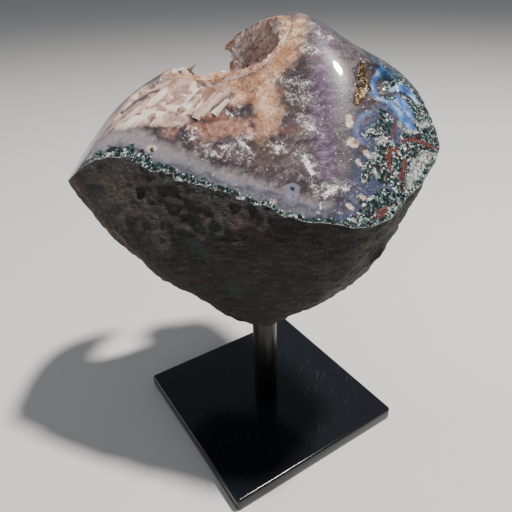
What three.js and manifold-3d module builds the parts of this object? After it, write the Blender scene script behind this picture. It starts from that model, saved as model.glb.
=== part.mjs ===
// A pink amethyst geode on a display stand: a black square plate, a round post
// and the stone, which is held by the post in a drilled hole.
// Millimetres, +Z up. The origin is the centre of the plate's underside, and the
// plate's sides run along X and Y.

import * as THREE from "three";
import { ConvexGeometry } from "three/addons/geometries/ConvexGeometry.js";
import { mergeVertices } from "three/addons/utils/BufferGeometryUtils.js";
import Module from "manifold-3d";

const wasm = await Module();
wasm.setup();
const { Manifold, Mesh: SolidMesh } = wasm;

// Stand
const PLATE_SIDE = 100;
const PLATE_THICKNESS = 7;
const PLATE_CORNER_RADIUS = 2;
const PLATE_EDGE_RADIUS = 1.2;
const POST_DIAMETER = 12.7;
const POST_TOP = 84;
const POST_EDGES = 36;
const GAP = 0.3;

// Stone: its own frame has X along the polished front and Y towards the back,
// and is turned about the post from the plate's sides.
const STONE_TURN = THREE.MathUtils.degToRad(-32.4);
const STONE_CENTRE = new THREE.Vector3(-4.5, 15.5, 132.5);

// Faces of the rough outside, seen from the stone's centre: the way each one
// looks (degrees round from +X, degrees above the horizon) and how far off it is.
const RIND_FACES = [
  { name: "left flank", round: 209, up: -42, away: 62.5 },
  { name: "front flank", round: 260, up: -17, away: 55.5 },
  { name: "front keel", round: 267, up: -62, away: 77 },
  { name: "back keel", round: 69, up: -59, away: 57 },
  { name: "right front flank", round: 320, up: -18, away: 70.5 },
  { name: "right flank", round: 358, up: -30, away: 69 },
  { name: "right keel", round: 334, up: -54, away: 64.5 },
  { name: "left end", round: 168, up: -17, away: 82 },
  { name: "left nose", round: 189, up: -5, away: 89.5 },
  { name: "back left", round: 126, up: -17, away: 60.5 },
  { name: "back", round: 98, up: -12, away: 51.5 },
  { name: "back right", round: 38, up: -19, away: 45 },
  { name: "front rim", round: 248, up: 21, away: 47 },
  { name: "lid", round: 90, up: 88, away: 160 },
];
const RIND_SHARPNESS = 13;

// Faces of the ground and polished dome, from the same centre.
const DOME_FACES = [
  { name: "left face", round: 256, up: 46.5, away: 39.5 },
  { name: "right face", round: 302, up: 42.5, away: 58 },
  { name: "left shoulder", round: 187, up: 41.5, away: 67.5 },
  { name: "right shoulder", round: 358, up: 55.5, away: 73 },
  { name: "back slope", round: 104, up: 31, away: 73 },
  { name: "top slope", round: 190, up: 66, away: 55.5 },
  { name: "far left", round: 180, up: -20, away: 170 },
  { name: "far right", round: 0, up: -20, away: 170 },
  { name: "far front", round: 270, up: -20, away: 170 },
  { name: "far back", round: 90, up: -20, away: 170 },
  { name: "underneath", round: 270, up: -88, away: 150 },
];
const DOME_SHARPNESS = 13;

// Hollow: egg-shaped, leaning to the right, open at the top and the back left.
const HOLLOW_CENTRE = new THREE.Vector3(-20, 46, 161);
const HOLLOW_RADII = new THREE.Vector3(31.5, 36, 56);
const [HOLLOW_TIP, HOLLOW_LEAN, HOLLOW_TURN] = [3, 47, -22].map(THREE.MathUtils.degToRad);
const HOLLOW_SET = new THREE.Euler(HOLLOW_TIP, HOLLOW_LEAN, HOLLOW_TURN, "ZYX");

// Stone and lining are broken away in rounded dips round the mouth.
const BREAKS = [
  { name: "deep dip at the back left", centre: new THREE.Vector3(-55, 73, 126), radius: 32 },
  { name: "low left end of the rim", centre: new THREE.Vector3(-36, 58, 197), radius: 21 },
];

// Crystals lining the hollow, spread evenly over its wall.
const CRUST_THICKNESS = 3.5;
const CRYSTALS_ALL_ROUND = 120;
const CRYSTAL_RADIUS = [4.2, 6.6];
const CRYSTAL_LENGTH = [7, 13];
const CRYSTAL_TILT = 0.45;
const CRYSTAL_TIP = 1.1;

// Bites out of the surface: the way each one lies from the stone's centre, the
// radius of the bite and how deep it goes.
const BITES = [
  { name: "chip at the left of the rim", round: 165, up: 42, radius: 16, deep: 1.6 },
  { name: "chip at the rim's corner", round: 158, up: 52, radius: 13, deep: 3 },
  { name: "chip on the front of the rim", round: 200, up: 70, radius: 12, deep: 1.2 },
  { name: "open pocket of small crystals", round: 346, up: 42, radius: 16, deep: 2.5 },
  { name: "three-cornered pit", round: 215, up: 8, radius: 4, deep: 2 },
  { name: "dimple at the left end", round: 197, up: -2, radius: 16, deep: 1.6 },
  { name: "dimple below the left end", round: 212, up: -16, radius: 20, deep: 1.6 },
  { name: "green hollow", round: 244, up: -12, radius: 22, deep: 1.8 },
  { name: "low green hollow", round: 258, up: -40, radius: 14, deep: 1.6 },
  { name: "dimple on the right", round: 318, up: -12, radius: 20, deep: 1.6 },
];

function towards(round, up) {
  const azimuth = THREE.MathUtils.degToRad(round);
  const height = THREE.MathUtils.degToRad(up);
  return new THREE.Vector3(
    Math.cos(height) * Math.cos(azimuth),
    Math.cos(height) * Math.sin(azimuth),
    Math.sin(height),
  );
}

// How far the soft-edged block reaches in a direction: faces meet in rounded
// edges, which are tighter where the sharpness is higher.
function reach(faces, sharpness, direction) {
  let sum = 0;
  for (const { normal, away } of faces) {
    const share = normal.dot(direction) / away;
    if (share > 0) sum += share ** sharpness;
  }
  return sum ** (-1 / sharpness);
}

const sidesOf = (faces) =>
  faces.map(({ round, up, away }) => ({ normal: towards(round, up), away }));
const RIND_SIDES = sidesOf(RIND_FACES);
const DOME_SIDES = sidesOf(DOME_FACES);

const rindReach = (direction) => reach(RIND_SIDES, RIND_SHARPNESS, direction);
const domeReach = (direction) => reach(DOME_SIDES, DOME_SHARPNESS, direction);
const fromCentre = (direction, distance) =>
  STONE_CENTRE.clone().addScaledVector(direction, distance);

function hash(i, j, k) {
  const s = Math.sin(i * 127.1 + j * 311.7 + k * 74.7) * 43758.5453;
  return s - Math.floor(s);
}

// Smooth lumps from -1 to 1, one every size millimetres.
function lumps(point, size) {
  const cell = [point.x / size, point.y / size, point.z / size];
  const low = cell.map(Math.floor);
  const [u, v, w] = cell.map((c, n) => {
    const t = c - low[n];
    return t * t * (3 - 2 * t);
  });
  const mix = THREE.MathUtils.lerp;
  const row = (j, k) =>
    mix(hash(low[0], low[1] + j, low[2] + k), hash(low[0] + 1, low[1] + j, low[2] + k), u);
  return mix(mix(row(0, 0), row(1, 0), v), mix(row(0, 1), row(1, 1), v), w) * 2 - 1;
}

function solidFrom(geometry) {
  const plain = geometry.clone();
  plain.deleteAttribute("normal");
  plain.deleteAttribute("uv");
  const merged = mergeVertices(plain, 1e-4);
  return new Manifold(
    new SolidMesh({
      numProp: 3,
      vertProperties: new Float32Array(merged.attributes.position.array),
      triVerts: new Uint32Array(merged.index.array),
    }),
  );
}

function geometryFrom(solid) {
  const { vertProperties, triVerts, numProp } = solid.getMesh();
  const indexed = new THREE.BufferGeometry();
  indexed.setAttribute("position", new THREE.BufferAttribute(vertProperties, numProp));
  indexed.setIndex(new THREE.BufferAttribute(triVerts, 1));
  const flat = indexed.toNonIndexed();
  flat.computeVertexNormals();
  return flat;
}

function blob(detail, place) {
  const ball = new THREE.IcosahedronGeometry(1, detail);
  const position = ball.attributes.position;
  const direction = new THREE.Vector3();
  for (let n = 0; n < position.count; n++) {
    direction.fromBufferAttribute(position, n).normalize();
    const point = place(direction);
    position.setXYZ(n, point.x, point.y, point.z);
  }
  return solidFrom(ball);
}

// The rough outside all round, lumpy.
function rind(inset) {
  return blob(10, (direction) => {
    const point = fromCentre(direction, rindReach(direction) - inset);
    return point.addScaledVector(direction, 1.8 * lumps(point, 26) + 0.9 * lumps(point, 11));
  });
}

// The polished dome, which cuts the rough outside off at the rim line.
function dome(inset) {
  return blob(10, (direction) => fromCentre(direction, domeReach(direction) - inset));
}

// A point on the hollow's wall, inset towards its middle.
function hollowPoint(direction, inset) {
  const wall = direction.clone().multiply(HOLLOW_RADII);
  const swell = 0.9 * lumps(wall, 15) - inset;
  return wall.addScaledVector(direction, swell).applyEuler(HOLLOW_SET).add(HOLLOW_CENTRE);
}

const hollow = (inset) => blob(5, (direction) => hollowPoint(direction, inset));

function brokenAway() {
  const dips = BREAKS.map(({ centre, radius }) =>
    blob(4, (direction) => {
      const point = centre.clone().addScaledVector(direction, radius);
      return point.addScaledVector(direction, 1.5 * lumps(point, 12));
    }));
  return Manifold.union(dips);
}

function bite({ round, up, radius, deep }) {
  const direction = towards(round, up);
  const surface = Math.min(rindReach(direction), domeReach(direction));
  const middle = fromCentre(direction, surface + radius - deep);
  return blob(2, (way) => {
    const unevenness = 1 + 0.05 * lumps(way, 0.4);
    return middle.clone().addScaledVector(way, radius * unevenness);
  });
}

function postHole() {
  const length = 60;
  const hole = new THREE.CylinderGeometry(
    POST_DIAMETER / 2 + GAP, POST_DIAMETER / 2 + GAP, length, POST_EDGES);
  hole.rotateX(Math.PI / 2);
  hole.translate(0, 0, POST_TOP + GAP - length / 2);
  return solidFrom(hole);
}

function stone() {
  let body = rind(0).intersect(dome(0)).subtract(hollow(0));
  body = body.subtract(brokenAway()).subtract(postHole());
  for (const spot of BITES) body = body.subtract(bite(spot));
  return body;
}

// Six flat sides and a six-sided point, growing along +Z from a narrow root at zero.
function crystal(radius, length) {
  const corners = [new THREE.Vector3(0, 0, 0), new THREE.Vector3(0, 0, length)];
  for (let side = 0; side < 6; side++) {
    const angle = (side * Math.PI) / 3;
    const [x, y] = [Math.cos(angle) * radius, Math.sin(angle) * radius];
    corners.push(new THREE.Vector3(x, y, CRUST_THICKNESS));
    corners.push(new THREE.Vector3(0.92 * x, 0.92 * y, length - CRYSTAL_TIP * radius));
  }
  return new ConvexGeometry(corners);
}

// Directions spread evenly all round, one for each number.
function spread(number, count) {
  const height = 1 - (2 * (number + 0.5)) / count;
  const across = Math.sqrt(1 - height * height);
  const angle = number * Math.PI * (3 - Math.sqrt(5));
  return new THREE.Vector3(Math.cos(angle) * across, Math.sin(angle) * across, height);
}

function insideStone(point, margin) {
  const offset = point.clone().sub(STONE_CENTRE);
  const distance = offset.length();
  const direction = offset.divideScalar(distance);
  return distance + margin < Math.min(rindReach(direction), domeReach(direction));
}

function crystalLining() {
  const between = ([low, high], number, seed) => low + (high - low) * hash(number, seed, 3);
  const lining = [];
  for (let number = 0; number < CRYSTALS_ALL_ROUND; number++) {
    const direction = spread(number, CRYSTALS_ALL_ROUND);
    const root = hollowPoint(direction, GAP + 0.5);
    const broken = BREAKS.some(({ centre, radius }) => root.distanceTo(centre) < radius + 3);
    if (broken || !insideStone(root, 1)) continue;
    const inward = direction.clone().negate().applyEuler(HOLLOW_SET);
    inward.x += CRYSTAL_TILT * (hash(number, 1, 7) * 2 - 1);
    inward.y += CRYSTAL_TILT * (hash(number, 2, 7) * 2 - 1);
    inward.z += CRYSTAL_TILT * (hash(number, 3, 7) * 2 - 1);
    const turn = new THREE.Quaternion().setFromUnitVectors(
      new THREE.Vector3(0, 0, 1), inward.normalize());
    const grown = crystal(
      between(CRYSTAL_RADIUS, number, 4), between(CRYSTAL_LENGTH, number, 5));
    grown.rotateZ(hash(number, 6, 7) * Math.PI);
    grown.applyQuaternion(turn);
    grown.translate(root.x, root.y, root.z);
    lining.push(solidFrom(grown));
  }
  return lining;
}

// One crust: a thin layer on the hollow's wall with the crystals grown into it.
function crust() {
  const within = rind(0.5).intersect(dome(0.5)).subtract(brokenAway());
  const layer = hollow(GAP).subtract(hollow(GAP + CRUST_THICKNESS)).intersect(within);
  return Manifold.union([layer, ...crystalLining()]).intersect(hollow(GAP));
}

function plate() {
  const half = PLATE_SIDE / 2 - PLATE_EDGE_RADIUS;
  const corner = PLATE_CORNER_RADIUS - PLATE_EDGE_RADIUS;
  const outline = new THREE.Shape();
  outline.moveTo(half, -half + corner);
  outline.absarc(half - corner, half - corner, corner, 0, Math.PI / 2);
  outline.absarc(-half + corner, half - corner, corner, Math.PI / 2, Math.PI);
  outline.absarc(-half + corner, -half + corner, corner, Math.PI, 1.5 * Math.PI);
  outline.absarc(half - corner, -half + corner, corner, 1.5 * Math.PI, 2 * Math.PI);
  const slab = new THREE.ExtrudeGeometry(outline, {
    depth: PLATE_THICKNESS - 2 * PLATE_EDGE_RADIUS,
    bevelThickness: PLATE_EDGE_RADIUS,
    bevelSize: PLATE_EDGE_RADIUS,
    bevelSegments: 2,
    curveSegments: 3,
  });
  slab.translate(0, 0, PLATE_EDGE_RADIUS);
  return slab;
}

function post() {
  const length = POST_TOP - PLATE_THICKNESS;
  const rod = new THREE.CylinderGeometry(POST_DIAMETER / 2, POST_DIAMETER / 2, length, POST_EDGES);
  rod.rotateX(Math.PI / 2);
  rod.translate(0, 0, PLATE_THICKNESS + length / 2);
  return rod;
}

function piece(name, geometry, look) {
  const mesh = new THREE.Mesh(geometry, new THREE.MeshStandardMaterial(look));
  mesh.name = name;
  return mesh;
}

const geode = new THREE.Group();
geode.name = "geode";
geode.rotation.z = STONE_TURN;
geode.add(
  piece("geode_stone", geometryFrom(stone()), { color: 0x7d7073, roughness: 0.5 }),
  piece("crystal_crust", geometryFrom(crust()), { color: 0xa8827c, roughness: 0.2 }),
);

const stand = new THREE.Group();
stand.name = "stand";
stand.add(
  piece("stand_post", post(), { color: 0x16181a, roughness: 0.35 }),
  piece("stand_plate", plate(), { color: 0x14171a, roughness: 0.1 }),
);

const group = new THREE.Group();
group.name = "geode_on_stand";
group.add(geode, stand);

export default group;
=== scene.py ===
# A pink amethyst geode on its stand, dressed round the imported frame.
# Lengths are millimetres until a mesh is made, and metres in Blender. The stone's own
# frame has X along its polished front and Y towards the back, and is turned by
# STONE_TURN about Z from the plate's sides.

import itertools
import math

import bmesh
import bpy
import numpy as np
from mathutils import Matrix, Vector
from mathutils.kdtree import KDTree


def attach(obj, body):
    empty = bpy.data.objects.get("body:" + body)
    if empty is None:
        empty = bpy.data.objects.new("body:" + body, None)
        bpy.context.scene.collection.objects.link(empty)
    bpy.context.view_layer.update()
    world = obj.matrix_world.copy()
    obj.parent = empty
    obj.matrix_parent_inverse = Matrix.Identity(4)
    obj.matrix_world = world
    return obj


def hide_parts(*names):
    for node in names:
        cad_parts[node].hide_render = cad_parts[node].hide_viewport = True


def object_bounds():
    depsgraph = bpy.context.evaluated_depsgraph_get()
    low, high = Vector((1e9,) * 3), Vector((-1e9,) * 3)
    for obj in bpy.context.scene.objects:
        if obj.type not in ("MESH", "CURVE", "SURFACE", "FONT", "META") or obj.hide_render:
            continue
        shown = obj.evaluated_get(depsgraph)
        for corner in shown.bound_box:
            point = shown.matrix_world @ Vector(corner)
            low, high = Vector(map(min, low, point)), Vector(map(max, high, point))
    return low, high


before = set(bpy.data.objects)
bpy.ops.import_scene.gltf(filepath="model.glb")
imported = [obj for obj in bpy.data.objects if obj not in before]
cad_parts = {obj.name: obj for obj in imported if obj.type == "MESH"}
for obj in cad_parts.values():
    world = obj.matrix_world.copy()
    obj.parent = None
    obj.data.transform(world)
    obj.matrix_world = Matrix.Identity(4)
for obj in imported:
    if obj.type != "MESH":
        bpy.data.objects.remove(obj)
cad_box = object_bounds()

MM = 0.001

# Stand
PLATE_SIDE = 100
PLATE_THICKNESS = 7
PLATE_CORNER_RADIUS = 2
PLATE_EDGE_RADIUS = 1.2
POST_DIAMETER = 12.7
POST_TOP = 84
POST_EDGE_RADIUS = 0.4
POST_SIDES = 96
HOLE_DEPTH = 60
HOLE_SIDES = 64
GAP = 0.3

# Stone: each face of its rough outside and of its polished dome is the way it looks,
# in degrees round from +X and degrees up, and its distance from the stone's centre.
STONE_TURN = math.radians(-32.4)
STONE_CENTRE = np.array([-4.5, 15.5, 132.5])
RIND_FACES = (
    (209, -42, 62.5), (260, -17, 55.5), (267, -62, 77), (69, -59, 57), (320, -18, 70.5),
    (358, -30, 69), (334, -54, 64.5), (168, -17, 82), (189, -5, 89.5), (126, -17, 60.5),
    (98, -12, 51.5), (38, -19, 45), (248, 21, 47), (90, 88, 160),
)
DOME_FACES = (
    (256, 46.5, 39.5), (302, 42.5, 58), (187, 41.5, 67.5), (358, 55.5, 73), (104, 31, 73),
    (190, 66, 55.5), (180, -20, 170), (0, -20, 170), (270, -20, 170), (90, -20, 170),
    (270, -88, 150),
)
EDGE_SHARPNESS = 13
DOME_INSET = 0.4
RIND_INSET = 0.6

# Fineness of the bodies made from a ball: each step has four times as many faces
STONE_FINENESS = 7
HOLLOW_FINENESS = 6
BITE_FINENESS = 5

# Swells of the outside: degrees round and up, degrees across, share of the reach
SWELLS = (
    (7, 35, 14, 0.05),
)

# Hollow, and the dips broken away round its mouth
HOLLOW_CENTRE = np.array([-20.0, 46.0, 161.0])
HOLLOW_RADII = np.array([31.5, 36.0, 56.0])
HOLLOW_TURNS = (3, 47, -22)
LINING_DEPTH = 3.8
WALL_DEPTH = LINING_DEPTH - 1.5
BREAKS = (
    ((-55, 73, 126), 32),
    ((-36, 58, 197), 22.5),
)

# Bites out of the surface: degrees round and up, radius of the bite, depth. The first
# four show broken quartz, and the rest are dips in the rind.
BITES = (
    (165, 42, 16, 1.6), (158, 52, 13, 3), (200, 70, 12, 1.2), (346, 42, 16, 2.5),
    (215, 8, 4, 2), (197, -2, 16, 1.6), (212, -16, 20, 1.6), (244, -12, 22, 1.8),
    (258, -40, 14, 1.6), (318, -12, 20, 1.6),
)
BROKEN_BITES = BITES[:4]
POCKET_BITE = BITES[3]

# How far past each cutting shape a face still counts as its wall, in millimetres, and
# for a bite as a share of its radius
POLISH_MARGIN = 0.12
WALL_MARGIN = 0.7
BREAK_MARGIN = 2.1
BITE_MARGIN = 0.06

# Along the stone's X, in millimetres: where the rock fills the right end, and where each
# thing begins to change and over what length
ROCK_END = 60
BROWN_LEFT, BROWN_OVER = -30, 30
WIDE_LEFT, WIDE_OVER = -20, 30
LEFT_TIP, TIP_OVER = -86, 12
NARROW_RIGHT, NARROW_OVER = 20, 15

# Crystals: how many places are tried, and the shape of each, as shares of its radius
HOLLOW_PLACES = 3400
POCKET_PLACES = 2600
CRYSTAL_SIDES = 6
SHOULDER_SIZE = 0.94
TIP_HEIGHT = 1.15
UNEVENNESS = 0.22
LEAN = 0.18
ROOT_DEPTH = 1.5

# The way in which the quartz of the clear end has grown, in its skin and as crystals
SKIN_SLANT = (0.62, 0.4, 0.68)
CRYSTAL_SLANT = (0.5, 0.4, 0.77)

# Camera, found from the plate's edges in the photograph
CAMERA_PLACE = (-3.54, -206.77, 219.94)
CAMERA_DOWN = 30.45
CAMERA_ROLL = -1.64
FOCAL_PIXELS = 491
PHOTO_PIXELS = 512
SENSOR_WIDTH = 36
PIXELS_PER_MM = 2.28
ZONE_LIMIT = 6.0
NEAREST_STONE, FARTHEST_STONE, RAY_STEPS = 150, 340, 760

# Lights: name, way to it in the stone's frame, metres away, metres across, watts, colour
LIGHTS = (
    ("key", (0.36, 0.06, 1.0), 1.3, 0.12, 36, (1.0, 0.97, 0.92)),
    ("front", (-0.5, -1.0, 0.12), 1.5, 0.8, 2.5, (0.95, 0.97, 1.0)),
    ("left", (-1.0, 0.3, 0.35), 1.5, 0.8, 4, (0.95, 0.97, 1.0)),
)
ROOM_COLOUR = (0.86, 0.9, 1.0, 1)
ROOM_STRENGTH = 0.24
FLOOR_REACH = 8


def towards(around, up):
    around, up = math.radians(around), math.radians(up)
    return np.array([
        math.cos(up) * math.cos(around),
        math.cos(up) * math.sin(around),
        math.sin(up),
    ])


def reach(faces, directions):
    """How far a block of flat faces with soft edges reaches in each direction."""
    total = np.zeros(len(directions))
    for around, up, away in faces:
        share = directions @ towards(around, up) / away
        total += np.clip(share, 0, None) ** EDGE_SHARPNESS
    swell = np.ones(len(directions))
    for around, up, across, share in SWELLS:
        off = np.degrees(np.arccos(np.clip(directions @ towards(around, up), -1, 1)))
        swell += share * np.exp(-(off / across) ** 2)
    return total ** (-1 / EDGE_SHARPNESS) * swell


def rind_reach(directions):
    return reach(RIND_FACES, directions)


def dome_reach(directions):
    return reach(DOME_FACES, directions)


def skin_reach(directions):
    """How far the stone's smooth skin, dome or rind, reaches in each direction."""
    return np.minimum(rind_reach(directions), dome_reach(directions))


def chance(i, j, k):
    """A number from 0 to 1 for each cell, scattered but the same every time."""
    value = np.sin(i * 127.1 + j * 311.7 + k * 74.7) * 43758.5453
    return value - np.floor(value)


def lumps(points, size):
    """Smooth lumps from -1 to 1, one every size millimetres."""
    low = np.floor(points / size)
    along = points / size - low
    along = along * along * (3 - 2 * along)
    value = np.zeros(len(points))
    for corner in itertools.product((0, 1), repeat=3):
        weight = np.prod(np.where(corner, along, 1 - along), axis=1)
        value += weight * chance(*(low + corner).T)
    return value * 2 - 1


def unit(vectors):
    return vectors / np.linalg.norm(vectors, axis=1)[:, None]


def from_centre(points):
    """Directions and distances of points from the stone's centre."""
    offset = points - STONE_CENTRE
    return unit(offset), np.linalg.norm(offset, axis=1)


def depth_in_stone(points):
    """How many millimetres each point lies below the stone's smooth skin."""
    directions, distance = from_centre(points)
    return skin_reach(directions) - distance


def turned(vector):
    """A vector of the stone's frame, in the plate's frame."""
    return Matrix.Rotation(STONE_TURN, 3, "Z") @ Vector(vector)


# Meshes

def object_from(name, points, faces, materials=()):
    mesh = bpy.data.meshes.new(name)
    mesh.from_pydata(points.tolist() if hasattr(points, "tolist") else points, [], faces)
    mesh.validate()
    made = bpy.data.objects.new(name, mesh)
    bpy.context.scene.collection.objects.link(made)
    for material in materials:
        mesh.materials.append(material)
    return made


def upright(name, outline, bottom, top, materials=()):
    """A body that rises from an outline, with flat ends."""
    count = len(outline)
    points = [(x, y, z) for z in (bottom, top) for x, y in outline]
    walls = [(n, (n + 1) % count, count + (n + 1) % count, count + n) for n in range(count)]
    ends = [list(reversed(range(count))), list(range(count, 2 * count))]
    return object_from(name, points, walls + ends, materials)


def round_bar(name, sides, radius, bottom, top, materials=()):
    angles = [2 * math.pi * n / sides for n in range(sides)]
    outline = [(math.cos(angle) * radius, math.sin(angle) * radius) for angle in angles]
    return upright(name, outline, bottom, top, materials)


def ball(name, fineness, place):
    """A closed body, made by moving the points of a unit ball."""
    shape = bmesh.new()
    bmesh.ops.create_icosphere(shape, subdivisions=fineness, radius=1)
    directions = unit(np.array([corner.co for corner in shape.verts]))
    faces = [[corner.index for corner in face.verts] for face in shape.faces]
    shape.free()
    return object_from(name, place(directions), faces)


def points_of(mesh):
    flat = np.empty(len(mesh.vertices) * 3)
    mesh.vertices.foreach_get("co", flat)
    return flat.reshape(-1, 3)


def face_middles(mesh):
    flat = np.empty(len(mesh.polygons) * 3)
    mesh.polygons.foreach_get("center", flat)
    return flat.reshape(-1, 3)


def move_points(mesh, points):
    mesh.vertices.foreach_set("co", np.ascontiguousarray(points, dtype=np.float32).ravel())
    mesh.update()


def carve(body, tool, operation="DIFFERENCE"):
    """Cuts a body by a tool, or keeps what they share, and takes the tool away."""
    cut = body.modifiers.new("cut", "BOOLEAN")
    cut.object = tool
    cut.operation = operation
    cut.solver = "MANIFOLD"
    settled = body.evaluated_get(bpy.context.evaluated_depsgraph_get())
    mesh = bpy.data.meshes.new_from_object(settled)
    body.modifiers.clear()
    body.data = mesh
    bpy.data.objects.remove(tool)


def settle(body):
    """Turns a body from the stone's frame to the plate's, in metres, inside the frame's box."""
    points = points_of(body.data)
    turn = np.array(Matrix.Rotation(STONE_TURN, 3, "Z"))
    low, high = np.array(cad_box[0]), np.array(cad_box[1])
    move_points(body.data, np.clip(points @ turn.T * MM, low, high))


# Shapes of the stone

def rind_points(directions, inset):
    points = STONE_CENTRE + directions * (rind_reach(directions) - inset)[:, None]
    relief = 1.8 * lumps(points, 26) + 0.9 * lumps(points, 11)
    return points + directions * relief[:, None]


def grainy_rind_points(directions):
    points = rind_points(directions, 0.9)
    ledges = 0.9 * np.abs(lumps(points * [1, 1, 2.2] + 40, 7))
    knobs = 0.5 * lumps(points + 90, 3.4) + 0.3 * lumps(points + 60, 1.9)
    return points + directions * (ledges + knobs)[:, None]


def dome_points(directions, inset):
    return STONE_CENTRE + directions * (dome_reach(directions) - inset)[:, None]


HOLLOW_TURN = np.array(
    Matrix.Rotation(math.radians(HOLLOW_TURNS[2]), 3, "Z")
    @ Matrix.Rotation(math.radians(HOLLOW_TURNS[1]), 3, "Y")
    @ Matrix.Rotation(math.radians(HOLLOW_TURNS[0]), 3, "X")
)


def hollow_points(directions, inset):
    wall = directions * HOLLOW_RADII
    swell = 0.9 * lumps(wall, 15) - inset
    return (wall + directions * swell[:, None]) @ HOLLOW_TURN.T + HOLLOW_CENTRE


def inside_hollow(points, inset):
    local = (points - HOLLOW_CENTRE) @ HOLLOW_TURN
    return np.linalg.norm(local / (HOLLOW_RADII - inset), axis=1) < 1


def break_tool(centre, radius, grow=0.0):
    def place(directions):
        points = np.array(centre) + directions * (radius + grow)
        return points + directions * (1.5 * lumps(points, 12) + 0.5 * lumps(points, 4))[:, None]
    return ball("break", HOLLOW_FINENESS, place)


def in_breaks(points, grow):
    """Whether each point is in one of the breaks, grown by some millimetres."""
    inside = np.zeros(len(points), dtype=bool)
    for centre, radius in BREAKS:
        inside |= np.linalg.norm(points - np.array(centre), axis=1) < radius + grow
    return inside


def bite_middle(around, up, radius, deep):
    direction = towards(around, up)
    return STONE_CENTRE + direction * (skin_reach(direction[None])[0] + radius - deep)


def bite_points(bite, directions):
    radius = bite[2]
    bumpy = 1 + 0.05 * lumps(directions, 0.4)
    return bite_middle(*bite) + directions * radius * bumpy[:, None]


def bite_tool(bite):
    def place(directions):
        points = bite_points(bite, directions)
        return points + directions * (0.25 * lumps(points, 2.5))[:, None]
    return ball("bite", BITE_FINENESS, place)


def in_bite(points, bite):
    """Whether each point is in a bite or on its wall."""
    away = np.linalg.norm(points - bite_middle(*bite), axis=1)
    return away < bite[2] * (1 + BITE_MARGIN)


def post_hole_tool():
    radius = POST_DIAMETER / 2 + GAP
    return round_bar("hole", HOLE_SIDES, radius, POST_TOP - HOLE_DEPTH, POST_TOP + GAP)


# Places given by pixels of the photograph, carried onto the stone's surface

def camera_axes():
    down, roll = math.radians(CAMERA_DOWN), math.radians(CAMERA_ROLL)
    right = np.array([1, 0, 0])
    up = np.array([0, math.sin(down), math.cos(down)])
    forward = np.array([0, math.cos(down), -math.sin(down)])
    return (
        right * math.cos(roll) + up * math.sin(roll),
        up * math.cos(roll) - right * math.sin(roll),
        forward,
    )


def on_stone(pixels):
    """The points of the stone seen at pixels of the photograph."""
    right, up, forward = camera_axes()
    pixels = np.array(pixels, dtype=float)
    across = (pixels[:, :1] - PHOTO_PIXELS / 2) / FOCAL_PIXELS
    over = (PHOTO_PIXELS / 2 - pixels[:, 1:2]) / FOCAL_PIXELS
    rays = forward + right * across + up * over
    steps = np.linspace(NEAREST_STONE, FARTHEST_STONE, RAY_STEPS)
    found = np.zeros((len(pixels), 3))
    for number, ray in enumerate(rays):
        points = np.array(CAMERA_PLACE) + ray * steps[:, None]
        depth = depth_in_stone(points)
        hits = np.nonzero(depth > 0)[0]
        found[number] = points[hits[0] if len(hits) else depth.argmax()]
    return found


def along_stroke(stroke):
    """Dabs close together along a stroke, each a pixel and a half width."""
    dabs = [np.array(stroke[0], dtype=float)]
    for start, end in zip(stroke, stroke[1:]):
        start, end = np.array(start, dtype=float), np.array(end, dtype=float)
        gap = max(1.0, 0.35 * (start[2] + end[2]))
        count = max(1, round(math.dist(start[:2], end[:2]) / gap))
        dabs += [start + (end - start) * n / count for n in range(1, count + 1)]
    return dabs


def zone(points, strokes):
    """How many millimetres each point lies inside the strokes, below 0 outside."""
    dabs = np.array([dab for stroke in strokes for dab in along_stroke(stroke)])
    inside = np.full(len(points), -ZONE_LIMIT)
    for centre, half_width in zip(on_stone(dabs[:, :2]), dabs[:, 2] / PIXELS_PER_MM):
        near = np.nonzero(np.abs(points[:, 0] - centre[0]) < half_width + ZONE_LIMIT)[0]
        away = np.linalg.norm(points[near] - centre, axis=1)
        inside[near] = np.maximum(inside[near], half_width - away)
    return inside


# Where each kind of quartz, agate and rock shows. Every stroke is a line of pixels of
# the photograph, each with the stroke's half width there, also in pixels.
PEACH = (
    ((302, 14, 5), (298, 24, 9), (291, 40, 11), (287, 54, 11), (277, 66, 9), (262, 79, 9),
     (248, 85, 10), (234, 84, 8), (222, 81, 4)),
    ((262, 80, 10), (266, 96, 12), (268, 112, 12), (268, 124, 10), (262, 133, 6)),
    ((246, 94, 9), (236, 99, 7)),
)
AMBER = (
    ((285, 42, 3.5), (283, 56, 5), (277, 66, 4)),
    ((247, 99, 2.5), (257, 100, 3)),
    ((269, 119, 1.4), (269, 124, 1.8)),
    ((262, 70, 2), (255, 76, 2)),
)
SALMON = (
    ((188, 124, 3), (204, 131, 8), (224, 126, 10), (244, 127, 9), (254, 131, 5)),
    ((203, 113, 4), (222, 116, 5)),
    ((166, 133, 3), (171, 134, 3)),
)
CLEAR = (
    ((103, 135, 3), (118, 119, 8), (134, 109, 14), (152, 104, 17), (172, 96, 21), (192, 96, 20),
     (208, 92, 16), (222, 88, 10)),
    ((100, 136, 7), (115, 114, 14), (135, 94, 17), (160, 82, 18), (185, 80, 16), (212, 84, 12)),
    ((118, 126, 6), (140, 118, 9), (165, 118, 8), (182, 119, 6)),
)
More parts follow.
